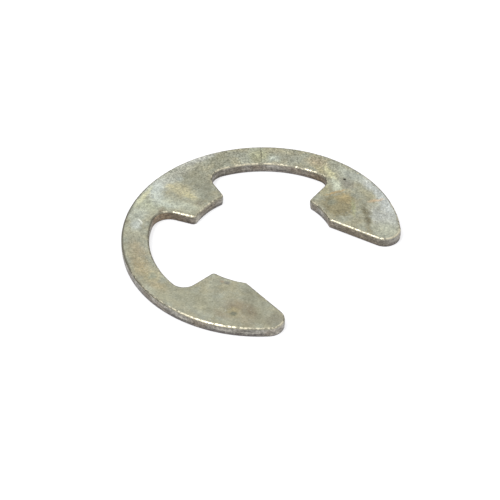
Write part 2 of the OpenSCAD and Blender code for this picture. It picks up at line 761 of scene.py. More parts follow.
@dataclass(frozen=True)
class Patch:
    """An oval patch of the plate, with a soft edge.

    Attributes:
        centre: Middle of the patch, in millimetres.
        radii: Its half length and half width, in millimetres.
        turn: Angle of its length in the plan, in degrees.
        strength: Its share in the middle.
        soft: How wide its edge fades, as a share of its radii.
    """

    centre: tuple[float, float]
    radii: tuple[float, float]
    turn: float
    strength: float
    soft: float

    def share(self, sheet: Sheet, place: Socket) -> Socket:
        """Lay out the patch.

        Args:
            sheet: The material's node tree.
            place: Coordinate in the plan, in millimetres, and with a fleck value of 0 to 1 as its height.

        Returns:
            The share of the patch, 0 away from it.
        """
        mapping = sheet.node(
            "Mapping",
            {
                "Vector": place,
                "Location": (*self.centre, 0),
                "Rotation": (0, 0, radians(self.turn)),
                "Scale": (*self.radii, 1 / FLECK_REACH),
            },
            vector_type="TEXTURE",
        ).outputs[0]
        reach = sheet.node("VectorMath", {0: mapping}, operation="LENGTH").outputs["Value"]
        rim = hypot(1.0, FLECK_REACH * PLAIN_FLECK)
        return sheet.fade(reach, Step(rim - self.soft, rim + self.soft, self.strength, 0.0))


@dataclass(frozen=True)
class Stain:
    """A patch of the plate with another tint.

    Attributes:
        centre: Middle of the stain, in millimetres.
        radii: Its half length and half width, in millimetres.
        turn: Angle of its length in the plan, in degrees.
        tint: Its colour as seen, 0 to 255.
        strength: How much of the tint shows in the middle.
        soft: How wide its edge fades, as a share of its radii.
    """

    centre: tuple[float, float]
    radii: tuple[float, float]
    turn: float
    tint: Tint
    strength: float
    soft: float

    def lay(self, sheet: Sheet, place: Socket, colour: Socket) -> Socket:
        """Lay the stain on a colour.

        Args:
            sheet: The material's node tree.
            place: Coordinate in the plan, in millimetres, and with a fleck value of 0 to 1 as its height.
            colour: The colour under the stain.

        Returns:
            The colour with the stain.
        """
        patch = Patch(self.centre, self.radii, self.turn, self.strength, self.soft)
        return sheet.mix(patch.share(sheet, place), colour, linear(self.tint))


PRONG_STAINS = {
    "pale_green": Stain((-13.80, -4.40), (1.70, 1.20), 26, (194, 199, 177), 0.85, 0.8),
    "blue_cloud": Stain((-15.50, -0.90), (2.00, 1.00), 80, (206, 212, 206), 0.95, 0.7),
    "blue_cloud_low": Stain((-14.55, -2.50), (1.70, 0.80), 145, (202, 209, 201), 0.86, 0.7),
    "yellow_rim": Stain((-15.45, -3.60), (1.60, 0.30), -76, (220, 220, 186), 0.9, 0.7),
    "dark_cloud": Stain((-13.52, 3.15), (1.23, 1.38), 13, (153, 152, 133), 0.75, 0.8),
    "blue_fleck": Stain((-14.34, 1.47), (0.41, 0.38), 13, (190, 196, 188), 0.8, 0.7),
    "yellow_patch": Stain((-12.77, -0.01), (1.70, 0.68), 8, (198, 191, 158), 0.7, 0.8),
    "yellow_head": Stain((-14.29, -0.20), (0.51, 0.37), 7, (214, 207, 172), 0.75, 0.7),
    "yellow_end": Stain((-11.26, -0.07), (0.85, 0.36), 3, (206, 200, 162), 0.75, 0.7),
    "pale_band": Stain((-11.95, -2.85), (0.95, 0.50), 22, (198, 205, 193), 0.86, 0.7),
    "pale_band_end": Stain((-10.70, -1.95), (1.75, 0.66), 18, (200, 204, 186), 0.85, 0.7),
    "pale_spot": Stain((-13.72, -6.65), (1.20, 0.85), 55, (196, 201, 188), 0.85, 0.7),
    "pale_upper": Stain((-15.20, 2.60), (2.60, 0.70), 82, (181, 181, 168), 0.8, 0.8),
    "dark_cloud_low": Stain((-11.10, 2.20), (1.70, 0.85), 146, (151, 151, 134), 0.8, 0.8),
    "root_roll_brown": Stain((-11.75, -4.60), (0.95, 0.38), 130, (126, 114, 95), 0.8, 0.6),
}

BACK_STAINS = {
    "round_spot": Stain((-12.58, -8.08), (0.62, 0.90), 40, (194, 199, 191), 0.95, 0.4),
    "brown_zone": Stain((-9.44, -11.24), (1.41, 0.65), -23, (176, 164, 138), 0.63, 0.8),
    "brown_patch": Stain((-7.40, -13.20), (1.60, 0.80), -27, (186, 172, 137), 0.8, 0.7),
    "round_halo": Stain((-4.88, -13.70), (0.99, 0.96), 8, (186, 177, 142), 0.69, 0.45),
    "round_middle": Stain((-4.88, -13.70), (0.55, 0.58), 11, (164, 167, 148), 0.9, 0.4),
    "brown_low": Stain((-3.20, -14.59), (1.01, 0.59), -4, (178, 166, 134), 0.69, 0.7),
    "green_cloud": Stain((-10.01, 11.00), (0.97, 1.10), 40, (178, 180, 148), 0.69, 0.8),
    "dark_streak": Stain((-12.52, 9.45), (0.92, 0.33), 65, (146, 145, 130), 0.75, 0.7),
    "dark_streak_left": Stain((-12.90, 7.20), (1.70, 1.00), 119, (146, 146, 128), 0.8, 0.8),
    "pale_blot": Stain((-8.15, 11.80), (0.72, 0.42), 40, (189, 196, 185), 0.8, 0.7),
    "dark_blot_far": Stain((-6.90, 13.10), (1.40, 0.65), 25, (152, 152, 138), 0.6, 0.8),
    "orange_cloud": Stain((-3.86, 14.58), (1.07, 0.66), 2, (184, 170, 141), 0.8, 0.8),
    "violet_rim": Stain((-15.10, 5.50), (2.20, 0.45), 71, (204, 206, 200), 0.9, 0.7),
    "yellow_rim_low": Stain((-1.73, -15.40), (1.60, 0.52), 180, (192, 190, 164), 0.75, 0.7),
    "round_spot_low": Stain((-11.26, -9.60), (0.90, 0.70), 0, (188, 187, 166), 0.75, 0.7),
}

RIGHT_JAW_STAINS_AND_SHEEN = {
    "inside_arc": Stain((-2.39, 13.61), (1.19, 0.37), -12, (178, 170, 136), 0.69, 0.7),
    "pale_arc": Stain((-1.20, 13.98), (1.60, 0.40), -22, (212, 209, 174), 1.0, 0.4),
    "pale_arc_end": Stain((0.72, 12.75), (1.50, 0.45), -38, (208, 212, 192), 0.95, 0.4),
    "grey_cloud": Stain((1.47, 13.90), (1.11, 0.60), -17, (146, 144, 138), 0.55, 0.6),
    "blue_rim": Stain((3.80, 15.40), (1.70, 0.60), -15, (208, 213, 211), 0.8, 0.8),
    # Paler and bluer: partly a stain, partly a painted sheen on this part of the right jaw.
    "blue_cloud": Stain((7.60, 14.00), (3.20, 0.85), -35, (207, 212, 210), 0.9, 0.7),
    "blue_cloud_low": Stain((8.90, 11.60), (2.05, 0.94), -22, (194, 197, 192), 0.85, 0.7),
    "grey_streak": Stain((7.93, 11.50), (1.30, 0.42), 136, (172, 174, 166), 0.8, 0.6),
    "green_cloud": Stain((4.38, 13.98), (1.03, 0.62), -6, (178, 172, 142), 0.69, 0.8),
    "brown_patch": Stain((3.30, 10.20), (2.10, 1.85), -20, (152, 144, 115), 0.9, 0.25),
    "brown_patch_top": Stain((3.20, 11.65), (1.00, 0.72), 10, (182, 168, 130), 0.9, 0.5),
    "brown_patch_rim": Stain((1.50, 11.60), (1.35, 0.20), 62, (182, 158, 116), 0.8, 0.4),
    "brown_patch_heart": Stain((2.37, 10.08), (0.46, 0.61), 17, (148, 150, 132), 0.9, 0.6),
    "green_rim": Stain((4.92, 11.04), (1.47, 0.22), -45, (178, 180, 144), 0.8, 0.6),
    "dark_blotch": Stain((5.66, 11.91), (0.95, 0.37), -35, (140, 137, 117), 0.6, 0.7),
    "dark_blotch_middle": Stain((6.64, 11.30), (0.73, 0.39), -9, (128, 123, 100), 0.86, 0.7),
    "dark_blotch_low": Stain((7.77, 10.34), (0.93, 0.29), -39, (120, 114, 92), 0.9, 0.6),
    "dark_blotch_end": Stain((8.92, 9.16), (0.76, 0.28), -32, (146, 138, 112), 0.8, 0.7),
    "orange_streak": Stain((6.18, 13.69), (0.86, 0.20), 55, (206, 178, 142), 0.69, 0.7),
    "pale_tip": Stain((10.60, 10.60), (1.30, 1.00), -4, (188, 191, 173), 0.8, 0.7),
    "cool_plain": Stain((1.14, 15.38), (1.30, 0.85), -1, (184, 189, 180), 0.75, 0.7),
    "olive_root": Stain((0.00, 11.40), (1.40, 0.70), 125, (184, 180, 146), 0.6, 0.7),
}

NEAR_JAW_STAINS = {
    "grey_oval": Stain((1.60, -9.60), (0.85, 0.62), 65, (160, 163, 150), 0.5, 0.3),
    "grey_oval_middle": Stain((1.49, -10.13), (0.42, 0.34), 57, (178, 178, 158), 0.8, 0.4),
    "red_fleck": Stain((2.00, -9.12), (0.22, 0.16), 11, (164, 146, 124), 0.69, 0.7),
    "green_plain": Stain((2.00, -13.50), (3.30, 1.35), 13, (167, 166, 144), 0.8, 0.8),
    "dark_green_streak": Stain((6.30, -9.60), (1.70, 0.75), 130, (151, 149, 129), 0.78, 0.8),
    "dark_green_cloud": Stain((8.30, -10.10), (2.00, 1.00), 144, (156, 154, 134), 0.8, 0.8),
    "brown_cloud": Stain((6.10, -11.40), (1.20, 0.90), 26, (154, 140, 118), 0.7, 0.8),
    "brown_cloud_right": Stain((8.18, -10.95), (1.10, 0.50), -37, (144, 133, 112), 0.75, 0.8),
    "tip_grey": Stain((11.20, -10.05), (1.05, 1.05), 14, (147, 144, 129), 0.8, 0.7),
    "ring_halo": Stain((6.59, -12.35), (0.75, 0.95), 40, (172, 163, 128), 0.7, 0.5),
    "brown_cloud_left": Stain((5.90, -13.50), (1.10, 0.50), 0, (158, 149, 128), 0.75, 0.8),
    "brown_cloud_out": Stain((8.65, -12.51), (1.35, 0.65), 149, (156, 147, 124), 0.75, 0.8),
}

SMALL_MARKS = {
    "ring_mark": Stain((-9.49, -0.26), (0.41, 0.39), 40, (152, 147, 131), 0.6, 0.45),
    "ring_mark_middle": Stain((-9.44, -0.27), (0.18, 0.17), 40, (178, 176, 160), 0.85, 0.5),
    "blue_dot": Stain((-14.48, -3.10), (0.11, 0.13), 40, (128, 138, 134), 0.7, 0.6),
    "dark_fleck": Stain((2.60, -8.95), (0.34, 0.27), 21, (128, 127, 120), 0.8, 0.6),
    "ring_middle": Stain((6.70, -12.51), (0.42, 0.34), 30, (128, 130, 114), 0.9, 0.4),
}

STAIN_AND_SHEEN_GROUPS = (BACK_STAINS, PRONG_STAINS, RIGHT_JAW_STAINS_AND_SHEEN, NEAR_JAW_STAINS)

SCRATCHES_AND_PIT_SHADE = {
    "bright_scratch": Stain((-12.7, -7.28), (0.42, 0.08), -13, (250, 251, 240), 1.0, 0.6),
    "hairline": Stain((-9.7, 11.05), (1.45, 0.06), -47, (100, 98, 86), 0.75, 0.8),
    # Painted shadow: a dark dot in the pit, laid over everything.
    "pit_shadow": Stain((0.77, 14.26), (0.17, 0.15), 40, (60, 60, 54), 1.0, 0.3),
}

# Patches of worn edge, placed where the edge's highlights fall: the pale, smoother metal there partly paints
# the highlight, and a negative strength keeps an edge from being bright.
WORN_AND_HIGHLIGHT_EDGES = {
    "near_edge": Patch((5.00, -15.60), (4.20, 1.20), 22, 0.7, 0.4),
    "mouth_edge": Patch((8.90, 8.95), (5.60, 1.90), 18, 0.65, 0.4),
    "prong_edge": Patch((-9.60, -2.95), (1.50, 0.69), 18, 0.1, 0.4),
    "prong_end_edge": Patch((-8.57, -0.20), (1.95, 0.46), 90, 0.3, 0.4),
    "pocket_edge": Patch((-6.00, 12.26), (3.62, 0.92), 25, -0.1, 0.4),
    "pocket_edge_left": Patch((-11.02, 8.12), (3.21, 0.74), 54, 0.4, 0.4),
    "left_rim": Patch((-12.70, -10.50), (7.50, 4.00), 130, -1.0, 0.4),
}

WALL_STAINS_AND_HIGHLIGHT = {
    "prong_side_dark": Stain((-10.6, -3.6), (2.6, 0.6), -160, (104, 92, 76), 0.75, 0.5),
    "prong_root_brown": Stain((-12.5, -5.5), (1.6, 1.6), 0, (140, 119, 92), 0.65, 0.6),
    # Pale patch at the prong's corner: partly painted highlight, where the edge's bright line ends.
    "prong_corner_pale_highlight": Stain((-8.50, -1.90), (0.50, 0.45), 112, (188, 184, 170), 0.75, 0.5),
    "pocket_end_dark": Stain((-1.6, 12.9), (3.4, 1.1), -14, (102, 86, 64), 0.75, 0.6),
    "pocket_scrape": Stain((-11.57, 6.45), (0.05, 0.3), 241, (214, 212, 204), 0.8, 0.5),
    "near_tip_pale": Stain((12.20, -11.00), (1.00, 0.80), 0, (180, 177, 168), 0.5, 0.6),
    "mouth_olive": Stain((8.10, 8.20), (3.40, 1.00), 10, (114, 104, 86), 0.75, 0.6),
    "hairline_foot": Stain((-8.68, 10.01), (0.05, 0.3), 221, (96, 94, 84), 0.35, 0.6),
    "pocket_left_dark": Stain((-11.50, 6.60), (2.40, 1.00), 60, (112, 106, 95), 0.7, 0.6),
}


@dataclass(frozen=True)
class FacePlating:
    """Plating of the flat faces: clouds of two tints, grain, stains with one partly painted sheen, small
    marks and painted shade on the outer rim to the left.

    Attributes:
        plain: The plating's own tint.
        cool: Tint of its cool clouds.
        warm: Tint of its warm clouds.
        dark_speck: Tint of its dark specks.
        light_speck: Tint of its light glints.
        tint_share: How much of the clouds' tints shows.
        tints: The clouds of the two tints.
        tint_step: Where the cool tint gives way to the warm one.
        drift: Pattern that carries the stains' outlines to and fro.
        drift_reach: How far it carries them, in millimetres.
        flecks: Pattern that breaks up the stains' rims.
        grain: The plating's grain.
        grain_tone: How the grain shows.
        fine: The finest grain.
        fine_tone: How the finest grain shows.
        blotches: Broad light and dark blotches.
        blotch_tone: How the blotches show.
        backwards: Direction of the plan from the near jaw to the far side.
        rubbed: Where the near side, rubbed smooth, gives way to the rest.
        coarse: Where the finest grain gets stronger at the far side.
        leftwards: Direction of the plan to the outer side of the back.
        shaded_rim_reach: Where the painted shade of the outer rim starts, by its distance from the shaft's
            axis.
        shaded_rim_left: Where the painted shade of the outer rim starts, by how far it lies leftwards.
        rim_shade_tone: How dark the painted shade of the rim is.
        specks: Pattern of the dark specks.
        speck_step: Where the pattern makes a speck.
        glints: Pattern of the light glints.
        glint_step: Where the pattern makes a glint.
    """

    plain: Tint = (171, 171, 152)
    cool: Tint = (172, 177, 166)
    warm: Tint = (176, 168, 138)
    dark_speck: Tint = (124, 122, 108)
    light_speck: Tint = (214, 214, 200)
    tint_share: float = 0.4
    tints: Grain = Grain(1.7, roughness=0.6)
    tint_step: Step = Step(0.35, 0.65)
    drift: Grain = Grain(0.625, 4.0, 0.65)
    drift_reach: float = 0.9
    flecks: Grain = Grain(0.32)
    grain: Grain = Grain(0.55, roughness=0.65)
    grain_tone: Tone = Tone(0.9, 1.0)
    fine: Grain = Grain(0.2)
    fine_tone: Tone = Tone(1.7, 1.08)
    blotches: Grain = Grain(1.5, roughness=0.6)
    blotch_tone: Tone = Tone(0.7, 0.65)
    backwards: Axes = (-0.67, 0.74, 0)
    rubbed: Step = Step(-11.0, -3.0, 0.6, 1.0)
    coarse: Step = Step(9.0, 14.0, 0.0, 0.9)
    leftwards: Axes = (-0.77, -0.64, 0)
    shaded_rim_reach: Step = Step(16.2, 16.4)
    shaded_rim_left: Step = Step(13.0, 15.0)
    rim_shade_tone: Tone = Tone(-0.4, 1.0)
    specks: Grain = Grain(0.3, 1.0, 0.5)
    speck_step: Step = Step(0.66, 0.76, 0.0, 0.5)
    glints: Grain = Grain(0.26, 1.0, 0.5)
    glint_step: Step = Step(0.67, 0.77, 0.0, 0.5)

    def lay(self, sheet: Sheet, place: Socket, plan: Socket) -> Socket:
        """Lay out the plating.

        Args:
            sheet: The material's node tree.
            place: Coordinate in millimetres.
            plan: The same in the plan, with the plain fleck value as its height.

        Returns:
            The colour.
        """
        clouds = sheet.fade(sheet.noise(place, self.tints), self.tint_step)
        tint = sheet.mix(clouds, linear(self.cool), linear(self.warm))
        colour = sheet.mix(self.tint_share, linear(self.plain), tint)
        drifted = self._drifted(sheet, place)
        # The stains, one of which is partly a painted sheen.
        for group in STAIN_AND_SHEEN_GROUPS:
            for stain in group.values():
                colour = stain.lay(sheet, drifted, colour)
        for mark in SMALL_MARKS.values():
            colour = mark.lay(sheet, plan, colour)
        grain = sheet.noise(place, self.grain)
        fine = sheet.noise(place, self.fine)
        blotches = sheet.noise(place, self.blotches)
        colour = sheet.toned(colour, blotches, self.blotch_tone)
        depth = sheet.distance_along(place, self.backwards)
        rubbed = sheet.fade(depth, self.rubbed)
        coarse = sheet.math("ADD", rubbed, sheet.fade(depth, self.coarse))
        grain = sheet.math("MULTIPLY", sheet.math("SUBTRACT", grain, NOISE_MIDDLE), rubbed)
        fine = sheet.math("MULTIPLY", sheet.math("SUBTRACT", fine, NOISE_MIDDLE), coarse)
        colour = sheet.toned(colour, grain, self.grain_tone)
        colour = sheet.toned(colour, fine, self.fine_tone)
        # Painted shade: the outer rim on the left is darkened, for the dark reflection of the rolled edge
        # there.
        reach = sheet.node("VectorMath", {0: plan}, operation="LENGTH").outputs["Value"]
        left = sheet.distance_along(plan, self.leftwards)
        rim = sheet.math("MULTIPLY", sheet.fade(reach, self.shaded_rim_reach), sheet.fade(left, self.shaded_rim_left))
        colour = sheet.toned(colour, rim, self.rim_shade_tone)
        specks = sheet.fade(sheet.noise(place, self.specks), self.speck_step)
        colour = sheet.mix(specks, colour, linear(self.dark_speck))
        glints = sheet.fade(sheet.noise(drifted, self.glints), self.glint_step)
        return sheet.mix(glints, colour, linear(self.light_speck))

    def _drifted(self, sheet: Sheet, place: Socket) -> Socket:
        """Carry a coordinate to and fro in the plan, with a fleck value as its height.

        Args:
            sheet: The material's node tree.
            place: Coordinate in millimetres.

        Returns:
            The coordinate for the stains.
        """
        drift = sheet.clouds(place, self.drift).outputs[1]
        middle = (NOISE_MIDDLE, NOISE_MIDDLE, NOISE_MIDDLE)
        drift = sheet.node("VectorMath", {0: drift, 1: middle}, operation="SUBTRACT").outputs[0]
        drift = sheet.scaled(drift, self.drift_reach)
        drifted = sheet.node("VectorMath", {0: place, 1: drift}, operation="ADD").outputs[0]
        parts = sheet.node("SeparateXYZ", {0: drifted})
        flecks = sheet.noise(place, self.flecks)
        return sheet.node("CombineXYZ", {0: parts.outputs[0], 1: parts.outputs[1], 2: flecks}).outputs[0]


@dataclass(frozen=True)
class StampedWall:
    """Finish of the edge's wall: burnished above, torn below, with a dark foot.

    Attributes:
        burnished: Tint of the burnished band.
        streak: Tint of its pale streaks and of the torn band's pale grit.
        brown: Tint of the brown patches.
        torn: Tint of the torn band.
        foot: Tint of the foot.
        upright: Scale of a coordinate that draws patterns out upwards.
        level: Scale of a coordinate that draws patterns out along the wall.
        streaks: Pattern of the upright streaks.
        streak_step: Where it makes a streak.
        layers: Pattern of the layers along the wall.
        layer_tone: How the layers show.
        mottle: Pattern that mottles the wall.
        mottle_tone: How the mottle shows.
        patches: Pattern of the brown patches.
        brown_step: Where it makes the burnished band brown.
        torn_brown_step: Where it makes the torn band brown.
        grit: Pattern of the torn band's grit.
        grit_step: Where it makes the torn band pale.
        ragged: Height over which the streaks carry the tear line up and down, in millimetres.
        tear_below: How far below the tear line the burnished finish is gone.
        tear_above: How far above the tear line the torn finish is gone.
        speckle: Pattern of light and dark speckles.
        speckle_step: How the speckles darken and lighten the wall.
        foot_step: Share of the foot's tint, by height.
    """

    burnished: Tint = (152, 149, 141)
    streak: Tint = (180, 176, 164)
    brown: Tint = (129, 121, 109)
    torn: Tint = (114, 110, 106)
    foot: Tint = (94, 88, 93)
    upright: Axes = (1, 1, 0.12)
    level: Axes = (0.08, 0.08, 1)
    streaks: Grain = Grain(0.14, roughness=0.6)
    streak_step: Step = Step(0.55, 0.75, 0.0, 0.6)
    layers: Grain = Grain(0.2, roughness=0.6)
    layer_tone: Tone = Tone(1.5, 0.25)
    mottle: Grain = Grain(0.45, 4.0)
    mottle_tone: Tone = Tone(1.6, 0.2)
    patches: Grain = Grain(3.2, 2.0, 0.5)
    brown_step: Step = Step(0.4, 0.62)
    torn_brown_step: Step = Step(0.4, 0.65, 0.0, 0.6)
    grit: Grain = Grain(0.18)
    grit_step: Step = Step(0.5, 0.7, 0.0, 0.8)
    ragged: float = 0.5
    tear_below: float = 0.06
    tear_above: float = 0.04
    speckle: Grain = Grain(0.26)
    speckle_step: Step = Step(0.36, 0.64, 0.72, 1.26)
    foot_step: Step = Step(0.03, 0.16, 0.9, 0.0)

    def lay(
        self,
        sheet: Sheet,
        place: Socket,
        plan: Socket,
        height: Socket,
        section: ShearedEdge,
    ) -> Socket:
        """Lay out the wall's finish.

        Args:
            sheet: The material's node tree.
            place: Coordinate in millimetres.
            plan: The same in the plan, with the plain fleck value as its height.
            height: Height in millimetres.
            section: The plate's edge.

        Returns:
            The colour.
        """
        upright = sheet.squeezed(place, self.upright)
        level = sheet.squeezed(place, self.level)
        streaks = sheet.noise(upright, self.streaks)
        layers = sheet.noise(level, self.layers)
        mottle = sheet.noise(place, self.mottle)
        patches = sheet.noise(place, self.patches)
        smooth = sheet.mix(sheet.fade(patches, self.brown_step), linear(self.burnished), linear(self.brown))
        smooth = sheet.mix(sheet.fade(streaks, self.streak_step), smooth, linear(self.streak))
        grit = sheet.noise(place, self.grit)
        rough = sheet.mix(sheet.fade(grit, self.grit_step), linear(self.torn), linear(self.streak))
        rough = sheet.mix(sheet.fade(patches, self.torn_brown_step), rough, linear(self.brown))
        swing = sheet.math("SUBTRACT", streaks, NOISE_MIDDLE)
        ragged = sheet.math("MULTIPLY_ADD", swing, self.ragged, height)
        tear = Step(section.tear_h - self.tear_below, section.tear_h + self.tear_above, 1.0, 0.0)
        colour = sheet.mix(sheet.fade(ragged, tear), smooth, rough)
        # Wall stains, with one partly painted highlight at the prong's corner.
        for stain in WALL_STAINS_AND_HIGHLIGHT.values():
            colour = stain.lay(sheet, plan, colour)
        colour = sheet.toned(colour, layers, self.layer_tone)
        colour = sheet.toned(colour, mottle, self.mottle_tone)
        colour = sheet.scaled(colour, sheet.fade(sheet.noise(place, self.speckle), self.speckle_step))
        return sheet.mix(sheet.fade(height, self.foot_step), colour, linear(self.foot))


@dataclass(frozen=True)
class FineRelief:
    """Fine relief: orange peel on the faces, scratches and grit on the wall.

    Attributes:
        upright: Scale of a coordinate that draws the scratches out upwards.
        scratches: Pattern of the burnished band.
        grit: Pattern of the torn band.
        peel: Pattern of the faces.
        swell: Broad pattern of the faces.
        tear_below: How far below the tear line the scratches are gone.
        tear_above: How far above the tear line the grit is gone.
        strength: Strength of the relief, by the share of the rolled edge.
        depth: Depth of the relief, in millimetres.
    """

    upright: Axes = (1, 1, 0.1)
    scratches: Grain = Grain(0.07, 2.0, 0.6)
    grit: Grain = Grain(0.1)
    peel: Grain = Grain(0.22, roughness=0.6)
    swell: Grain = Grain(1.1, 2.0, 0.5)
    tear_below: float = 0.05
    tear_above: float = 0.03
    strength: Tone = Tone(-0.45, 0.6)
    depth: float = 0.02

    def lay(
        self,
        sheet: Sheet,
        place: Socket,
        height: Socket,
        wall_share: Socket,
        rolled: Socket,
        section: ShearedEdge,
    ) -> Socket:
        """Lay out the relief.

        Args:
            sheet: The material's node tree.
            place: Coordinate in millimetres.
            height: Height in millimetres.
            wall_share: Share of the wall's finish.
            rolled: Share of the rolled edge, which is rubbed smooth.
            section: The plate's edge.

        Returns:
            The normal.
        """
        upright = sheet.squeezed(place, self.upright)
        scratches = sheet.noise(upright, self.scratches)
        grit = sheet.noise(place, self.grit)
        peel = sheet.math("ADD", sheet.noise(place, self.peel), sheet.noise(place, self.swell))
        tear = Step(section.tear_h - self.tear_below, section.tear_h + self.tear_above, 1.0, 0.0)
        wall = sheet.blend(sheet.fade(height, tear), scratches, grit)
        relief = sheet.blend(wall_share, peel, wall)
        strength = sheet.math("MULTIPLY_ADD", rolled, self.strength.gain, self.strength.base)
        inputs = {"Strength": strength, "Distance": self.depth * MM, "Height": relief}
        return sheet.node("Bump", inputs).outputs[0]


@dataclass(frozen=True)
class PlatedSteel:
    """Dull, stained zinc plating on a stamped steel plate, worn bright on its rolled edge, with a painted
    highlight and painted shade on that edge.

    Attributes:
        face: Plating of the flat faces.
        wall: Finish of the wall.
        relief: Fine relief.
        bright: Tint of the worn edge, pale enough that it partly paints the edge's highlight.
        shaded_roll: Tint of the rolled edge where it isn't worn, darkened as painted shade for the dark
            reflection along its far and left edges.
        shaded_roll_share: How much of that tint shows.
        wall_below: How far below the foot of the roll the wall's finish is whole.
        wall_above: How far above the foot of the roll it is gone.
        underside: A face whose normal points further down than this has the plating of a flat face.
        roll_foot: Depths below the upper face between which the rolled edge starts.
        roll_crest: Depths below the upper face between which it ends.
        wear: Pattern of the worn stretches.
        wear_step: Where it makes the edge bright.
        highlight_patch_wear: How much a patch of worn edge, placed where a highlight falls, adds to that
            pattern.
        face_rough: Roughness of the plating.
        rough_spread: How far that roughness varies.
        rough_clouds: Pattern by which it varies.
        bright_rough: Roughness of the worn edge.
    """

    face: FacePlating = FacePlating()
    wall: StampedWall = StampedWall()
    relief: FineRelief = FineRelief()
    bright: Tint = (219, 212, 187)
    shaded_roll: Tint = (134, 130, 116)
    shaded_roll_share: float = 0.8
    wall_below: float = 0.02
    wall_above: float = 0.1
    underside: float = -0.95
    roll_foot: tuple[float, float] = (0.15, 0.1)
    roll_crest: tuple[float, float] = (0.006, 0.0006)
    wear: Grain = Grain(0.45, 4.0)
    wear_step: Step = Step(0.46, 0.58)
    highlight_patch_wear: float = 0.14
    face_rough: float = 0.5
    rough_spread: float = 0.16
    rough_clouds: Grain = Grain(0.5, roughness=0.5)
    bright_rough: float = 0.28

    def make(self, section: ShearedEdge) -> bpy.types.Material:
        """Lay out the finish.

        Args:
            section: The plate's edge, which gives the heights of its bands.

        Returns:
            The material.
        """
        material = bpy.data.materials.new(Finish.PLATED_STEEL.value + "_worn_and_highlight")
        sheet = Sheet(material)
        coordinate = sheet.node("TexCoord", {})
        place = sheet.scaled(coordinate.outputs["Object"], 1 / MM)
        height = sheet.node("SeparateXYZ", {0: place}).outputs[2]
        flat = {0: place, 1: (1, 1, 0), 2: (0, 0, PLAIN_FLECK)}
        plan = sheet.node("VectorMath", flat, operation="MULTIPLY_ADD").outputs[0]
        face = self.face.lay(sheet, place, plan)
        wall = self.wall.lay(sheet, place, plan, height, section)
        wall_share = self._wall_share(sheet, coordinate, height, section)
        rolled = self._rolled(sheet, height, section)
        worn = self._worn_and_highlight(sheet, place, plan, rolled)
        colour = sheet.mix(wall_share, face, wall)
        # Painted shade: the rolled edge is darkened where it isn't worn, for the dark reflection it shows
        # along its far and left edges.
        colour = sheet.mix(sheet.math("MULTIPLY", rolled, self.shaded_roll_share), colour, linear(self.shaded_roll))
        # Worn edge in its pale tint: real wear and, in part, painted highlight.
        colour = sheet.mix(worn, colour, linear(self.bright))
        # Scratches and the painted shadow of a pit, laid last.
        for top_mark in SCRATCHES_AND_PIT_SHADE.values():
            colour = top_mark.lay(sheet, plan, colour)
        clouds = sheet.noise(place, self.rough_clouds)
        lowest = self.face_rough - self.rough_spread / 2
        rough = sheet.math("MULTIPLY_ADD", clouds, self.rough_spread, lowest)
        rough = sheet.blend(worn, rough, self.bright_rough)
        bump = self.relief.lay(sheet, place, height, wall_share, rolled, section)
        shader = sheet.node(
            "BsdfPrincipled",
            {"Base Color": colour, "Roughness": rough, "Metallic": 1.0, "Normal": bump},
        )
        sheet.node("OutputMaterial", {0: shader.outputs[0]})
        return material

    def _wall_share(
        self,
        sheet: Sheet,
        coordinate: bpy.types.Node,
        height: Socket,
        section: ShearedEdge,
    ) -> Socket:
        """Find where the wall's finish shows.

        Args:
            sheet: The material's node tree.
            coordinate: The node that gives the coordinates.
            height: Height in millimetres.
            section: The plate's edge.

        Returns:
            The share of the wall's finish, which is 0 above the foot of the roll and on both flat faces.
        """
        roll_z = section.thickness - section.roll_h
        share = sheet.fade(height, Step(roll_z - self.wall_below, roll_z + self.wall_above, 1.0, 0.0))
        facing_down = sheet.node("SeparateXYZ", {0: coordinate.outputs["Normal"]}).outputs[2]
        underside = sheet.math("LESS_THAN", facing_down, self.underside)
        return sheet.math("MULTIPLY", share, sheet.math("SUBTRACT", 1.0, underside))

    def _rolled(self, sheet: Sheet, height: Socket, section: ShearedEdge) -> Socket:
        """Find where the rolled edge is.

        Args:
            sheet: The material's node tree.
            height: Height in millimetres.
            section: The plate's edge.

        Returns:
            The share of the rolled edge.
        """
        foot, foot_end = (section.thickness - depth for depth in self.roll_foot)
        crest, crest_end = (section.thickness - depth for depth in self.roll_crest)
        above_foot = sheet.fade(height, Step(foot, foot_end))
        below_crest = sheet.fade(height, Step(crest, crest_end, 1.0, 0.0))
        return sheet.math("MULTIPLY", above_foot, below_crest)

    def _worn_and_highlight(self, sheet: Sheet, place: Socket, plan: Socket, rolled: Socket) -> Socket:
        """Find where the edge is worn bright, which partly paints its highlight.

        Args:
            sheet: The material's node tree.
            place: Coordinate in millimetres.
            plan: The same in the plan, with the plain fleck value as its height.
            rolled: Share of the rolled edge.

        Returns:
            The share of the worn edge, with its painted highlight.
        """
        wear = sheet.noise(place, self.wear)
        for patch in WORN_AND_HIGHLIGHT_EDGES.values():
            wear = sheet.math("MULTIPLY_ADD", patch.share(sheet, plan), self.highlight_patch_wear, wear)
        return sheet.math("MULTIPLY", rolled, sheet.fade(wear, self.wear_step))


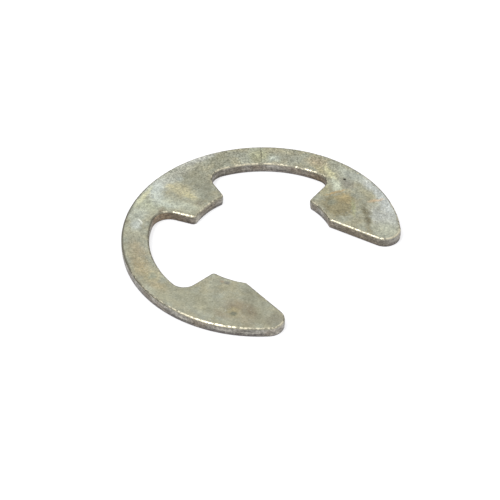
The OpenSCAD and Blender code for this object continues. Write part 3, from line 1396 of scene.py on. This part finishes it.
@dataclass
class Studio:
    """Floor, lamp, room and camera round the ring, in millimetres and degrees.

    Attributes:
        camera_height: Elevation of the camera.
        camera_heading: Turn of the camera round the upright axis.
        camera_roll: Turn of the camera round its line of sight.
        camera_distance: Distance of the camera from its target.
        camera_lens: Focal length.
        sensor_width: Width of the sensor.
        clip: Nearest and furthest distance that the camera sees.
        target: Place that the camera looks at.
        floor_size: Width of the floor.
        floor_gap: How far the floor lies below the ring, so that the two faces don't flicker.
        floor_paper: Linear colour of the floor where it takes up light.
        floor_glow: Strength of its own light, which only the camera and reflections see.
        room_rise: Brightness of the room, by the rise of a direction.
        room_left: The same, by how far a direction points to the camera's left.
        strip_radiance: Radiance of the strip lamp.
        strip_w: Width of the strip lamp.
        strip_reach: Distance of its two ends from the ring.
        strip_top: Elevation and azimuth of its top, as seen from the camera.
        strip_foot: Elevation and azimuth of its foot, as seen from the camera.
    """

    camera_height: float = 40.813
    camera_heading: float = 42.16
    camera_roll: float = -1.127
    camera_distance: float = 512.2
    camera_lens: float = 312.23
    sensor_width: float = 36.0
    clip: tuple[float, float] = (10.0, 20000.0)
    target: tuple[float, float, float] = (-0.267, -1.726, 0.0)
    floor_size: float = 4000.0
    floor_gap: float = 0.01
    floor_paper: tuple[float, float, float, float] = (0.5, 0.5, 0.52, 1)
    floor_glow: float = 0.62
    room_rise: Step = Step(0.08, 0.55, 0.15, 0.95)
    room_left: Step = Step(0.45, 0.75, 1.0, 0.35)
    strip_radiance: float = 4.4
    strip_w: float = 130.0
    strip_reach: float = 700.0
    strip_top: tuple[float, float] = (72.0, 121.5)
    strip_foot: tuple[float, float] = (17.5, -123.5)

    def camera(self) -> bpy.types.Object:
        """Stand the camera where the photograph was taken from.

        Returns:
            The camera.
        """
        height = radians(self.camera_height)
        turn = Matrix.Rotation(radians(self.camera_heading), 3, "Z")
        forward = turn @ Vector((0, cos(height), -sin(height)))
        right = turn @ Vector((1, 0, 0))
        up = right.cross(forward)
        roll = radians(self.camera_roll)
        level_right = right * cos(roll) + up * sin(roll)
        level_up = up * cos(roll) - right * sin(roll)
        bpy.ops.object.camera_add()
        camera = bpy.context.active_object
        camera.name = "camera"
        pose = Matrix((level_right, level_up, -forward)).transposed().to_4x4()
        pose.translation = (Vector(self.target) - forward * self.camera_distance) * MM
        camera.matrix_world = pose
        camera.data.sensor_fit = "HORIZONTAL"
        camera.data.sensor_width = self.sensor_width
        camera.data.lens = self.camera_lens
        camera.data.clip_start = self.clip[0] * MM
        camera.data.clip_end = self.clip[1] * MM
        bpy.context.scene.camera = camera
        return camera

    def floor(self) -> bpy.types.Object:
        """Lay the white floor that the ring lies on.

        Returns:
            The floor.
        """
        bpy.ops.object.select_all(action="DESELECT")
        bpy.ops.mesh.primitive_plane_add(
            size=self.floor_size * MM, location=(0, 0, -self.floor_gap * MM)
        )
        floor = bpy.context.active_object
        floor.name = "floor"
        material = bpy.data.materials.new("white_floor")
        sheet = Sheet(material)
        rays = sheet.node("LightPath", {})
        seen = sheet.math("MAXIMUM", rays.outputs["Is Camera Ray"], rays.outputs["Is Glossy Ray"])
        seen = sheet.math("MAXIMUM", seen, rays.outputs["Is Transmission Ray"])
        paper = sheet.node("BsdfDiffuse", {"Color": self.floor_paper})
        strength = sheet.math("MULTIPLY", seen, self.floor_glow)
        glow = sheet.node("Emission", {"Color": WHITE, "Strength": strength})
        both = sheet.node("AddShader", {0: paper.outputs[0], 1: glow.outputs[0]})
        sheet.node("OutputMaterial", {0: both.outputs[0]})
        floor.data.materials.append(material)
        return floor

    def towards(self, height: float, side: float) -> Vector:
        """Find a direction that is given as it looks from the camera.

        Args:
            height: Elevation of the direction.
            side: Its azimuth, where -90 is towards the camera and 180 is to the left.

        Returns:
            The unit vector.
        """
        flat = along(side) * cos(radians(height))
        turn = Matrix.Rotation(radians(self.camera_heading), 3, "Z")
        return turn @ Vector((flat.x, flat.y, sin(radians(height))))

    def strip_lamp(self) -> bpy.types.Object:
        """Hang the long soft lamp to the left, which draws the bright line on the rolled edge.

        Returns:
            The lamp.
        """
        top = self.towards(*self.strip_top) * self.strip_reach * MM
        foot = self.towards(*self.strip_foot) * self.strip_reach * MM
        middle = (top + foot) / 2
        length = (foot - top).normalized()
        outward = middle.normalized()
        bpy.ops.object.light_add(type="AREA")
        lamp = bpy.context.active_object
        lamp.name = "strip_lamp"
        pose = Matrix((length, outward.cross(length), outward)).transposed().to_4x4()
        pose.translation = middle
        lamp.matrix_world = pose
        lamp.data.shape = "RECTANGLE"
        lamp.data.size = (foot - top).length
        lamp.data.size_y = self.strip_w * MM
        lamp.data.energy = self.strip_radiance * pi * lamp.data.size * lamp.data.size_y
        return lamp

    def world(self) -> None:
        """Light the room: pale above, darker towards the horizon, white to the camera."""
        world = bpy.data.worlds.new("room")
        bpy.context.scene.world = world
        sheet = Sheet(world)
        direction = sheet.node("TexCoord", {}).outputs["Generated"]
        rise = sheet.node("SeparateXYZ", {0: direction}).outputs[2]
        strength = sheet.fade(rise, self.room_rise)
        leftwards = -along(self.camera_heading).to_3d()
        left = sheet.distance_along(direction, leftwards)
        strength = sheet.math("MULTIPLY", strength, sheet.fade(left, self.room_left))
        seen = sheet.node("LightPath", {}).outputs["Is Camera Ray"]
        strength = sheet.blend(seen, strength, 1.0)
        sky = sheet.node("Background", {"Color": WHITE, "Strength": strength})
        sheet.node("OutputWorld", {0: sky.outputs[0]})

    def build(self) -> None:
        """Set up the whole studio."""
        self.camera()
        self.floor()
        self.strip_lamp()
        self.world()
        bpy.context.scene.view_settings.view_transform = "Standard"


def main() -> None:
    """Build and dress the ring, then set up the studio round it."""
    logging.basicConfig(level=logging.INFO, format="%(name)s: %(message)s")
    Studio().build()
    ring = RingPlate()
    plate = ring.build()
    plate.data.materials.clear()
    plate.data.materials.append(PlatedSteel().make(ring.section))
    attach(plate, "root")
    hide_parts(ring.node)
    log.info("%s: %d vertices, %d faces", plate.name, len(plate.data.vertices), len(plate.data.polygons))


if __name__ == "__main__":
    main()
